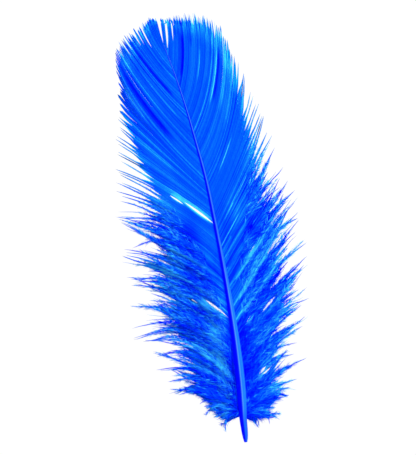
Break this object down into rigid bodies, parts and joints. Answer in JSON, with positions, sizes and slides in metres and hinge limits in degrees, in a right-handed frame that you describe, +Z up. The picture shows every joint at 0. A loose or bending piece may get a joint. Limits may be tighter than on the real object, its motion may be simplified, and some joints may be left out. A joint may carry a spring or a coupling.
{
  "type": "dyed goose feather",
  "caption": "Curved blue feather with a bare tapering quill, a closed fringed web above and soft downy locks below.",
  "frame": {"origin": "on the surface the feather lies on, under the middle of its outline", "axes": "+Y from the quill's end to the tip, +Z up out of the arched face, +X to the right of the shaft"},
  "size_m": [0.0544, 0.1306, 0.0064],
  "materials": {
    "quill": "smooth dyed keratin with a soft gloss",
    "barbs": "matt dyed barbs, a closed web above and loose down below"
  },
  "bodies": {
    "root": {"quill_shaft": "quill", "left_vane": "barbs", "right_vane": "barbs"}
  },
  "joints": []
}
